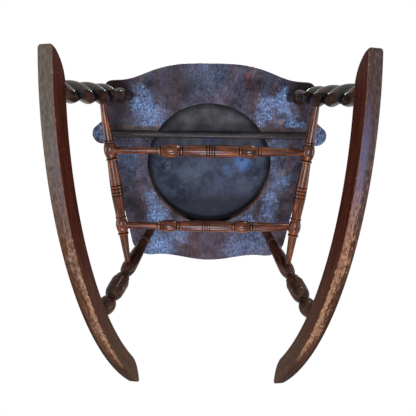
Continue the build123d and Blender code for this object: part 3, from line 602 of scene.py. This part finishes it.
def aged_oak_seat():
    """Oak planed and left raw below: pore lines, drawn 2.4 mm apart so that they show, and
    short flecks, over grey, brown and violet clouds, rubbed blue and crackled in places,
    with radial checks on the round ears. Outside and above it has a satin varnish."""
    material, tree = new_material("aged_oak_seat")
    place = place_in(tree, seat_frame)
    x, y, z = add(tree, "SeparateXYZ", {"Vector": place}).outputs

    # The raw wood: blue-grey, and brown along some of the boards.
    lines = blots(tree, place, (2.4, 24, 3), 4.0, 0.7)
    flecks = blots(tree, place, (4, 7, 4), 4.0, 0.8)
    lines = add(tree, "MixRGB", {"Fac": 0.6, "Color1": lines, "Color2": flecks})
    boards = blots(tree, place, (34, 300, 60), 2.0)
    clouds = blots(tree, place, 45, 6.0, 0.68)
    specks = blots(tree, place, 5, 4.0, 0.75)
    mix = add(tree, "MixRGB", {"Fac": 0.48, "Color1": lines, "Color2": clouds})
    raw = add(tree, "ValToRGB", {"Fac": mix},
              stops={0.38: "#1a171c", 0.46: "#3a3944", 0.54: "#555665", 0.64: "#7b7f96"})
    brown = add(tree, "ValToRGB", {"Fac": mix}, stops={0.38: "#1f1412", 0.5: "#4c3f43", 0.64: "#7d6a70"})
    warm = add(tree, "MapRange", {"Value": boards, "From Min": 0.46, "From Max": 0.58, "To Max": 0.8})
    colour = add(tree, "MixRGB", {"Fac": warm, "Color1": raw, "Color2": brown})

    # Blue bloom in rubbed patches whose outlines wander, crackled into cells of 6 mm.
    cloudy = blots(tree, place, 16, 3.0, 0.6)
    cloudy = wandered(tree, place, cloudy, (50, 110, 0))
    rubbed = 0.0
    for spot_x, spot_y, reach, strength in rubbed_spots:
        spot = round_spot(tree, cloudy, spot_x, spot_y, reach, reach * 0.15, strength)
        rubbed = add(tree, "Math", {0: rubbed, 1: spot}, operation="MAXIMUM")
    worn = add(tree, "MixRGB", {"Fac": 0.5, "Color1": lines, "Color2": specks})
    worn = add(tree, "MapRange", {"Value": worn, "From Min": 0.4, "From Max": 0.55})
    rubbed = add(tree, "Math", {0: rubbed, 1: worn}, operation="MULTIPLY")
    blue = add(tree, "ValToRGB", {"Fac": worn}, stops={0.1: "#4e659a", 0.9: "#9ec4f4"})
    cracks = add(tree, "TexVoronoi", {"Vector": place, "Scale": 1 / 6}, feature="DISTANCE_TO_EDGE")
    cracks = add(tree, "MapRange", {"Value": cracks, "From Min": 0.1, "From Max": 0.04, "To Max": 0.75})
    colour = laid_over(tree, colour, (rubbed, blue), (cracks, rubbed, "#1c1e2c"))

    # Stains with speckled outlines, and dark pits about 16 mm apart.
    speckled = wandered(tree, place, specks, (22, 22, 0))
    for spot_x, spot_y, reach, strength, code in stains:
        stain = round_spot(tree, speckled, spot_x, spot_y, reach, reach * 0.4, strength * 2)
        stain = add(tree, "Math", {0: stain, 1: specks}, operation="MULTIPLY", use_clamp=True)
        colour = laid_over(tree, colour, (stain, code))
    pits = add(tree, "TexVoronoi", {"Vector": place, "Scale": 1 / 16}).outputs["Distance"]
    pits = add(tree, "MapRange", {"Value": pits, "From Min": 0.1, "From Max": 0.05, "To Max": 0.8})
    colour = laid_over(tree, colour, (pits, "#0d0b0c"))

    # Checks that open out from the middle of each ear.
    for ear in (ear_x, -ear_x):
        ray, far = from_upright(tree, place, ear, ear_y)
        ray = add(tree, "VectorMath", {0: ray}, operation="NORMALIZE")
        check = add(tree, "TexNoise", {"Vector": ray, "Scale": 4.5, "Detail": 2.0})
        check = add(tree, "MapRange", {"Value": check, "From Min": 0.5, "From Max": 0.56})
        fade = add(tree, "MapRange", {"Value": far, "From Min": 21.0, "From Max": 8.0, "To Max": 0.9})
        colour = laid_over(tree, colour, (check, fade, "#120f12"))

    # The wall of the hole: painted black as shade, and bare and pale to both sides of its rear.
    _, from_hole = from_upright(tree, place, 0, hole_y)
    wall = add(tree, "MapRange", {"Value": from_hole, "From Min": hole_radius + 1.6,
                                  "From Max": hole_radius + 0.4})
    wall_wood_and_shade = add(tree, "ValToRGB", {"Fac": mix}, stops={0.4: "#32241f", 0.5: "#6e564d", 0.62: "#a48a80"})
    to_side = add(tree, "Math", {0: x}, operation="ABSOLUTE")
    to_side = add(tree, "MapRange", {"Value": to_side, "From Min": 50.0, "From Max": 80.0})
    to_rear = add(tree, "MapRange", {"Value": y, "From Min": -20.0, "From Max": 30.0})
    # Painted shade: the wall is black except to both sides of its rear.
    wall_wood_and_shade = laid_over(tree, "#0c0a0b", (to_side, to_rear, wall_wood_and_shade))

    # Old dirt in the rod's groove.
    from_rod = add(tree, "Math", {0: y, 1: rod_y}, operation="SUBTRACT")
    from_rod = add(tree, "Math", {0: from_rod}, operation="ABSOLUTE")
    sunk = add(tree, "MapRange", {"Value": z, "From Min": 0.6, "From Max": 2.0, "To Max": 0.8})
    within = add(tree, "MapRange", {"Value": from_rod, "From Min": 20.0, "From Max": 18.5})
    dirt = add(tree, "ValToRGB", {"Fac": mix}, stops={0.38: "#352a26", 0.5: "#665752", 0.64: "#8e7e78"})

    # Varnish on the edges, from just above the underside, and on the whole of the top.
    upper = add(tree, "MapRange", {"Value": z, "From Min": 1.0, "From Max": 2.5})
    outside = add(tree, "MapRange", {"Value": from_hole, "From Min": 166.0, "From Max": 170.0})
    beside = add(tree, "MapRange", {"Value": from_rod, "From Min": 20.0, "From Max": 22.0})
    for share in (outside, beside):
        upper = add(tree, "Math", {0: upper, 1: share}, operation="MULTIPLY")
    highest = add(tree, "MapRange", {"Value": z, "From Min": 19.0, "From Max": 21.0})
    upper = add(tree, "Math", {0: upper, 1: highest}, operation="MAXIMUM")
    top = add(tree, "ValToRGB", {"Fac": mix}, stops={0.36: "#220e08", 0.5: "#4c2314", 0.66: "#7b4324"})
    colour = laid_over(tree, colour, (wall, wall_wood_and_shade), (sunk, within, dirt), (upper, top))
    rough = add(tree, "MapRange", {"Value": upper, "To Min": 0.7, "To Max": 0.35})
    bump = add(tree, "Bump", {"Height": mix, "Strength": 0.6, "Distance": 0.0006})
    shade = add(tree, "BsdfPrincipled", {"Base Color": colour, "Roughness": rough, "Normal": bump,
                                         "IOR": 1.45, "Specular IOR Level": 0.08})
    add(tree, "OutputMaterial", {"Surface": shade})
    return material


def dress(node, material):
    """Give a node of the solid model its material."""
    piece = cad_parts[node]
    piece.data.materials.clear()
    piece.data.materials.append(material)


seat_oak = aged_oak_seat()
dress("seat_board", seat_oak)

# ------------ seat panel
# A disc of thick leather, pressed to a shallow dish and tacked into the rabbet of the
# round hole with small brass dome tacks. Underneath it is slate black, mottled and dull.
panel_thick = 3.0
panel_dish = 13.0
panel_sunk = 1.0
panel_points = 160
panel_rings = 60
rabbet_width = 10.0
crease_depth = 0.45
crease_width = 2.2
crease_share = 0.86
wave_length = 55.0
wave_height = 0.9
# Each patch is its x and y in mm, its reach in mm and its colour.
panel_patches = [
    (80, -8, 30, "#5c86bc"), (45, 10, 22, "#4c70a4"), (-17, -8, 20, "#5c6684"), (0, -62, 34, "#3e5272"),
    (-78, 60, 46, "#0c1122"), (-104, 8, 44, "#0e1424"), (-52, 84, 30, "#10152a"), (30, 46, 46, "#454a62"),
    (108, 20, 30, "#1c2030"),
]


def make_panel():
    """Dish with a flat rim, drawn as one profile from its lower middle to its upper one."""
    bend, rim = hole_radius - 3, hole_radius + rabbet_width - 0.5
    dish = (bend**2 + panel_dish**2) / (2 * panel_dish)
    inner = np.linspace(0.5, bend, panel_rings)
    sag = dish - np.sqrt(dish**2 - inner**2) - panel_dish
    crease = crease_depth * np.exp(-(((inner - bend * crease_share) / crease_width) ** 2))
    lower = list(zip(inner, sag - crease)) + [(rim, 0.0)]
    upper = [(rim, panel_thick)] + list(zip(inner, sag + panel_thick))[::-1]
    angles = np.arange(panel_points) * 2 * pi / panel_points
    rings = []
    for radius, height in lower + upper:
        ring, waved = [], wave_height * min(max((bend - radius) / 30, 0), 1)
        for angle in angles:
            x, y = radius * cos(angle), radius * sin(angle)
            wave = noise.fractal(Vector((x, y, 0)) / wave_length, 1.0, 2.0, 3) * waved
            ring.append((x, y, height + wave))
        rings.append(ring)
    rings = np.array(rings)[:, ::-1]
    stand = seat_frame @ Matrix.Translation(Vector((0, hole_y, seat_thick - panel_thick - panel_sunk)) * mm)
    return skin("seat_panel_leather", rings, rings, np.zeros(rings.shape[:2]), stand)


def old_leather():
    """Vegetable-tanned leather: a brown worn grain side above, and below a flesh side gone
    slate black, with blue bloom and darker mottles, over a grain of about 2 mm."""
    material, tree = new_material("old_leather")
    place = add(tree, "Attribute", attribute_name="place").outputs["Vector"]
    _, y, _ = add(tree, "SeparateXYZ", {"Vector": place}).outputs
    mottle = blots(tree, place, 42, 6.0, 0.62)
    fine = blots(tree, place, 2.2, 2.0)
    mix = add(tree, "MixRGB", {"Fac": 0.2, "Color1": mottle, "Color2": fine})
    slate = add(tree, "ValToRGB", {"Fac": mix},
                stops={0.36: "#292e3b", 0.46: "#363c49", 0.54: "#474e5e", 0.66: "#505769"})
    olive = add(tree, "ValToRGB", {"Fac": mix}, stops={0.36: "#34322f", 0.54: "#504e4d", 0.66: "#66646a"})

    # Olive in front, nearly black behind, and painted shadow in black round the rim.
    front = add(tree, "MapRange", {"Value": y, "From Min": -20.0, "From Max": -95.0, "To Max": 0.85})
    rear = add(tree, "MapRange", {"Value": y, "From Min": 40.0, "From Max": 88.0, "To Max": 0.85})
    _, far = from_upright(tree, place)
    # Painted shadow: black round the rim, next to the hole's wall.
    rim = add(tree, "MapRange", {"Value": far, "From Min": 128.0, "From Max": 141.0, "To Max": 0.9})
    colour = laid_over(tree, slate, (front, olive), (rear, "#282930"), (rim, "#0c0d12"))

    # Patches of bloom and damp, broken up by blots of 14 mm.
    blotch = blots(tree, place, 14, 4.0, 0.7)
    blotch = add(tree, "MapRange", {"Value": blotch, "From Min": 0.42, "From Max": 0.56, "To Max": 0.9})
    for spot_x, spot_y, reach, code in panel_patches:
        patch = round_spot(tree, place, spot_x, spot_y, reach, 4.0)
        colour = laid_over(tree, colour, (patch, blotch, code))

    # The grain side, wherever the leather faces up.
    tan = add(tree, "ValToRGB", {"Fac": mix}, stops={0.35: "#2c1810", 0.5: "#4a2a1b", 0.66: "#6b4029"})
    facing = add(tree, "NewGeometry").outputs["Normal"]
    up = seat_frame.to_3x3() @ Vector((0, 0, 1))
    above = add(tree, "VectorMath", {0: facing, 1: up}, operation="DOT_PRODUCT").outputs["Value"]
    above = add(tree, "MapRange", {"Value": above, "From Min": -0.1, "From Max": 0.1})
    colour = laid_over(tree, colour, (above, tan))
    bump = add(tree, "Bump", {"Height": mix, "Strength": 0.3, "Distance": 0.0006})
    shade = add(tree, "BsdfPrincipled", {"Base Color": colour, "Roughness": 0.58, "Normal": bump,
                                         "IOR": 1.5, "Specular IOR Level": 0.1})
    add(tree, "OutputMaterial", {"Surface": shade})
    return material


put_on(make_panel(), old_leather(), "panel_leather", "seat_panel")

# ------------ panel tacks
# Brass dome tacks, hammered through the panel's rim into the rabbet, each one a little off
# its mark. Their heads stand on the leather all round the hole.
tack_count = 44
tack_ring = hole_radius + 3.6
tack_radius = 4.2
tack_rise = 1.9
tack_foot = seat_thick - panel_sunk - 0.1
tack_sides = 14
tack_steps = 5


def make_tacks():
    """All the heads as one mesh: rings up each dome, its crown and its flat underside."""
    around = np.arange(tack_sides) * 2 * pi / tack_sides
    points, faces = [], []
    for number in range(tack_count):
        turn = 2 * pi * number / tack_count + 0.008 * sin(number * 7.3)
        reach = tack_ring + 0.5 * cos(number * 3.1)
        x, y, first = reach * cos(turn), hole_y + reach * sin(turn), len(points)
        crown = first + tack_steps * tack_sides
        for step in range(tack_steps):
            share = step / tack_steps * pi / 2
            radius, height = tack_radius * cos(share), tack_foot + tack_rise * sin(share)
            points += [(x + radius * cos(a), y + radius * sin(a), height) for a in around]
        points.append((x, y, tack_foot + tack_rise))
        for here in range(first, crown):
            beside = here + 1 if (here + 1 - first) % tack_sides else here + 1 - tack_sides
            above = (crown,) if here + tack_sides >= crown else (beside + tack_sides, here + tack_sides)
            faces.append((here, beside, *above))
        faces.append(tuple(range(first, first + tack_sides))[::-1])
    mesh = bpy.data.meshes.new("panel_tacks")
    mesh.from_pydata((np.array(points) * mm).tolist(), [], faces)
    mesh.shade_smooth()
    mesh.set_sharp_from_angle(angle=radians(50))
    mesh.transform(seat_frame)
    return new_object("panel_tacks", mesh)


def old_brass():
    """Stamped brass, dull brown in its pits and rubbed yellow on the domes. The pits are
    0.9 mm wide, so 350 of them would lie side by side across the ring of tacks."""
    material, tree = new_material("old_brass")
    spots = add(tree, "TexNoise", {"Scale": 350.0, "Detail": 3.0})
    colour = add(tree, "ValToRGB", {"Fac": spots}, stops={0.4: "#5e4522", 0.6: "#b08a4a"})
    rough = add(tree, "MapRange", {"Value": spots, "To Min": 0.55, "To Max": 0.3})
    shade = add(tree, "BsdfPrincipled", {"Base Color": colour, "Metallic": 1.0, "Roughness": rough})
    add(tree, "OutputMaterial", {"Surface": shade})
    return material


put_on(make_tacks(), old_brass(), "screw_steel")

# ------------ tie rod
# A plain round dowel that lies across under the seat, half sunk in the groove, and keeps
# the glued boards flat. Dirt has made it dark, with a dull shine along its lower side.
rod_wood = varnished_maple(
    "dirty_dowel", "#060505", "#161210", "#332d2c", "#4c4443", "#3a3332", coat=0.4, gloss=0.25
)
rod_cuts = [(1.5, 8.0, 0), (90, 7.8, 0), (None, 8.0, 0), (90, 7.8, 0), (1.5, 7.0, 0)]
rod = turn_on_lathe("tie_rod", (1, 0, 0), 7.0, rod_cuts, kind="dowel")
put_on(rod, rod_wood, "rod_wood", "tie_rod")

# ------------ hoop and back spindles
# The hoop is one straight-grained rod, steamed and bent, with both feet tenoned into the
# seat. Seven slender spindles fan out from the seat to their holes in its inner side.
back_recline = radians(13.0)
back_y = 182.0
hoop_rod = 10.0
hoop_foot_x = 150.0
hoop_radius = 205.0
hoop_height = 590.0
hoop_sides = 40
straight_parts = 60
bend_parts = 140
spindle_count = 7
back_frame = seat_frame @ Matrix.Translation(Vector((0, back_y, seat_thick)) * mm)
back_frame = back_frame @ Matrix.Rotation(pi / 2 - back_recline, 4, "X")


def hoop_line():
    """Points up one side of the hoop, round its top and down the other, in mm."""
    centre = hoop_height - hoop_radius
    distance = hypot(hoop_foot_x, centre)
    touch = atan2(-centre, hoop_foot_x) + asin(sqrt(1 - (hoop_radius / distance) ** 2))
    touch_x, touch_y = hoop_radius * cos(touch), centre + hoop_radius * sin(touch)
    rise = np.linspace(-0.02, 1, straight_parts)
    rise = [(hoop_foot_x + (touch_x - hoop_foot_x) * s, touch_y * s) for s in rise]
    bend = np.linspace(touch, pi - touch, bend_parts)
    bend = [(hoop_radius * cos(a), centre + hoop_radius * sin(a)) for a in bend]
    return rise + bend[1:-1] + [(-x, y) for x, y in rise[::-1]]


def make_hoop():
    """Round rod along the hoop's line. Its grain follows the bend."""
    line = np.array(hoop_line())
    way = np.gradient(line, axis=0)
    way /= np.linalg.norm(way, axis=1)[:, None]
    run = np.concatenate([[0], np.cumsum(np.linalg.norm(np.diff(line, axis=0), axis=1))])
    angles = np.arange(hoop_sides) * 2 * pi / hoop_sides
    section = [(hoop_rod * cos(a), hoop_rod * sin(a)) for a in angles]
    rings, places = [], []
    for (x, y), (along_x, along_y), far in zip(line, way, run):
        rings.append([(x + out * along_y, y - out * along_x, back) for out, back in section])
        places.append([(out, back, far) for out, back in section])
    rings, places = np.array(rings)[:, ::-1], np.array(places)[:, ::-1]
    return skin("back_hoop_rod", rings, places, np.zeros(rings.shape[:2]), back_frame)


put_on(make_hoop(), stretcher_maple, "turned_wood", "back_hoop")
spindle_cuts = [
    (37, 5.6, 0), (3, 8.4, 0), (3, 5.8, 0), (114, 7.6, 1.4), (22, 5.6, 0), (3, 8.4, 0), (3, 5.6, 0),
    (12, 4.3, 0), (None, 4.2, 0),
]
for number in range(1, spindle_count + 1):
    node = f"back_spindle_{number}"
    spindle = turn_on_lathe(node, (0, 0, 1), 5.6, spindle_cuts, points=32)
    put_on(spindle, stretcher_maple, "turned_wood", node)

# ------------ arm posts and wedges
# Stout balusters that pass through the seat's round ears. A thin wedge is driven across
# each one's lower end, and both ends are flush with the unfinished underside.
post_cuts = [
    (24.4, 12.0, 0), (0.6, 15.5, 0), (4, 15.5, 0.6), (5, 15.5, 1.2), (3, 12, 0), (34, 12, 6), (3, 9.5, 0),
    (None, 16, 1.5), (48, 9.5, 0.8), (4, 13, 0), (4, 13, 0), (3, 10, 0), (3, 13, 0), (6, 13, 1.0),
    (3, 11, 0), (1, 7.0, 0), (13, 7.0, 0),
]
for side in ("right", "left"):
    post = turn_on_lathe(f"arm_post_{side}", (0, 0, 1), 12, post_cuts)
    put_on(post, rear_maple, "leg_wood", f"arm_post_{side}")
    # The last face but one is its lower end, as raw as the seat round it.
    post.data.materials.append(seat_oak)
    post.data.polygons[-2].material_index = 1
dress("post_wedges", seat_oak)

# ------------ arm spindles
# Two short maple turnings under each arm, with a bead near each end, tenoned into the seat
# and the arm. They lean outward to follow the arm.
arm_spindle_cuts = [
    (44, 6.5, 0), (3, 9.3, 0), (3, 6.5, 0), (22, 9.1, 0), (None, 9.1, 0.5), (22, 6.5, 0), (3, 9.3, 0),
    (3, 6.5, 0), (41, 6.5, 0),
]
for place in ("front", "rear"):
    for side in ("right", "left"):
        node = f"{place}_arm_spindle_{side}"
        spindle = turn_on_lathe(node, (0, 0, 1), 6.5, arm_spindle_cuts, points=40)
        put_on(spindle, stretcher_maple, "turned_wood", node)

# ------------ arms and their screws
# Flat sawn arms with a round hand, let onto the outside of the hoop and held there by one
# steel screw each. Their grain runs from front to back.
arm_lie = chair @ Matrix.Rotation(-pi / 2, 4, "X")
arm_maple = varnished_maple(
    "maple_arm_varnish", "#040202", "#1c0a05", "#542610", "#a25826", "#a4652e",
    coat=0.5, gloss=0.24, lie=arm_lie,
)
for side in ("right", "left"):
    dress(f"arm_{side}", arm_maple)


def dull_steel():
    """Turned steel screw, gone grey: a soft metal sheen with fine turning marks."""
    material, tree = new_material("dull_steel")
    marks = add(tree, "TexNoise", {"Scale": 900.0, "Detail": 2.0})
    rough = add(tree, "MapRange", {"Value": marks, "To Min": 0.35, "To Max": 0.6})
    shade = add(tree, "BsdfPrincipled", {"Base Color": "#8a8782", "Metallic": 1.0, "Roughness": rough})
    add(tree, "OutputMaterial", {"Surface": shade})
    return material


dress("arm_screws", dull_steel())

# ------------ floor, light and camera
# A plain pale floor under the rockers, which fades into the white room a few steps away.
# The camera looks up from below it, so the floor is clear to whoever looks from underneath
# and to the lamps, and keeps the chair's shadow.
floor_size = 12.0


def pale_floor():
    """Flat white paint, a little grey. It turns clear between 0.7 m and 2.2 m away."""
    material, tree = new_material("pale_floor")
    behind = add(tree, "NewGeometry").outputs["Backfacing"]
    shadow = add(tree, "LightPath").outputs["Is Shadow Ray"]
    spot = add(tree, "TexCoord").outputs["Object"]
    far = add(tree, "VectorMath", {0: spot}, operation="LENGTH").outputs["Value"]
    fade = add(tree, "MapRange", {"Value": far, "From Min": 0.7, "From Max": 2.2})
    clear = add(tree, "Math", {0: behind, 1: shadow}, operation="MAXIMUM")
    clear = add(tree, "Math", {0: clear, 1: fade}, operation="MAXIMUM")
    white = add(tree, "BsdfDiffuse", {"Color": "#f4f4f4"})
    see_through = add(tree, "BsdfTransparent")
    mix = add(tree, "MixShader", {0: clear, 1: white, 2: see_through})
    add(tree, "OutputMaterial", {"Surface": mix})
    return material


bpy.ops.mesh.primitive_plane_add(size=floor_size, location=(0, 0, 0))
floor = bpy.context.object
floor.name = "floor"
floor.data.materials.append(pale_floor())
floor.visible_diffuse = False
floor.visible_glossy = False

# The room is white to the eye and in reflections, and gives a fifth of that as light.
world = bpy.data.worlds.new("white_studio")
bpy.context.scene.world = world
world.use_nodes = True
sky = world.node_tree
sky.nodes.clear()
path = add(sky, "LightPath").outputs
seen = path["Is Camera Ray"]
for ray in ("Is Transmission Ray", "Is Glossy Ray"):
    seen = add(sky, "Math", {0: seen, 1: path[ray]}, operation="MAXIMUM")
strength = add(sky, "MapRange", {"Value": seen, "To Min": 0.22, "To Max": 1.0})
glow = add(sky, "Background", {"Color": (1, 1, 1, 1), "Strength": strength})
add(sky, "OutputWorld", {"Surface": glow})

# Each lamp is its place, width and depth in metres, its colour and its power in watts. All
# of them face a point 0.3 m above the middle of the floor.
lamp_aim = Vector((0, 0, 0.3))
lamps = [
    ("window_in_front", (0.9, -2.2, 1.6), 0.25, 0.25, (0.8, 0.92, 1.0), 16.0),
    ("lamp_below", (-0.1, -0.5, -2.0), 0.9, 0.75, (0.87, 0.88, 1.0), 32.0),
    ("lamp_behind", (0.1, 1.1, -1.8), 0.8, 0.45, (0.86, 0.84, 1.0), 26.0),
    ("lamp_above", (0.0, 0.3, 2.9), 0.9, 0.9, (0.9, 0.96, 1.0), 60.0),
    ("lamp_at_right", (2.3, 0.05, -0.3), 0.9, 0.4, (0.84, 0.86, 1.0), 14.0),
    ("lamp_at_left", (-2.3, 0.05, -0.3), 0.9, 0.4, (0.84, 0.86, 1.0), 14.0),
]
for name, place, wide, deep, colour, power in lamps:
    lamp = bpy.data.lights.new(name, "AREA")
    lamp.shape = "RECTANGLE"
    lamp.size, lamp.size_y, lamp.energy = wide, deep, power
    lamp.color = colour
    holder = new_object(name, lamp)
    holder.location = place
    holder.rotation_euler = (lamp_aim - Vector(place)).to_track_quat("-Z", "Y").to_euler()
    holder.visible_camera = False

# The camera is fixed to the chair and looks up at the seat from below the rockers.
camera_place = Vector((0, -347.5, -651.2)) * mm
camera_pitch = radians(180 - 23.06)
camera_roll = radians(0.7)
film_width = 36.0
picture_pixels = 416
focal_pixels = 450
camera = bpy.data.cameras.new("camera")
camera.sensor_width = film_width
camera.lens = focal_pixels / picture_pixels * film_width
camera.shift_x = -0.5 / picture_pixels
viewer = new_object("camera", camera)
camera_lie = Matrix.Rotation(camera_pitch, 4, "X") @ Matrix.Rotation(camera_roll, 4, "Z")
viewer.matrix_world = chair @ Matrix.Translation(camera_place) @ camera_lie
bpy.context.scene.camera = viewer
bpy.context.scene.view_settings.view_transform = "Standard"

bpy.context.view_layer.update()
